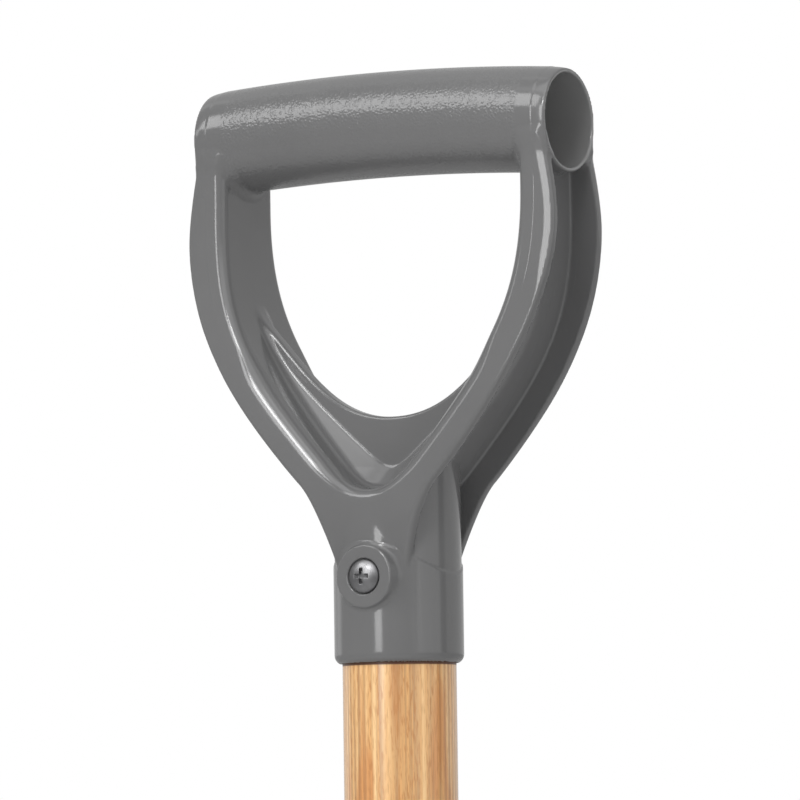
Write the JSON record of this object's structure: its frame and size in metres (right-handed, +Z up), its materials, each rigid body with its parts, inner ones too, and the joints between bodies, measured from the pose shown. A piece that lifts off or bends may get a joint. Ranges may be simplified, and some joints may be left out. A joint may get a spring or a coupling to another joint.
{
  "type": "scoop shovel",
  "caption": "Scoop shovel: a wide pressed scoop with curved walls, riveted to a rolled shank on a straight wooden shaft that ends in a moulded D-grip.",
  "frame": {"origin": "middle of the crossbar's underside, where a hook, a peg or a hand carries the shovel", "axes": "+X along the crossbar, +Y towards the back of the scoop, +Z up along the shaft towards the crossbar"},
  "size_m": [0.372, 0.1867, 1.2051],
  "materials": {
    "moulded_plastic": "grey moulded plastic, satin gloss, with a fine pebble grain on the crossbar",
    "varnished_ash": "straight-grained ash, turned smooth and clear varnished",
    "zinc_plate": "dull zinc plate",
    "painted_steel": "dark baked enamel, slightly worn at the edges",
    "aluminium_sheet": "mill finish with fine scratches along the scoop"
  },
  "bodies": {
    "root": {"grip": "moulded_plastic", "grip_screw": "zinc_plate", "shaft": "varnished_ash", "shank": "painted_steel", "blade": "aluminium_sheet", "rivet_left_upper": "zinc_plate", "rivet_right_upper": "zinc_plate", "rivet_left_lower": "zinc_plate", "rivet_right_lower": "zinc_plate", "rivet_left_strap": "zinc_plate", "rivet_right_strap": "zinc_plate", "shaft_rivet": "zinc_plate"}
  },
  "joints": []
}
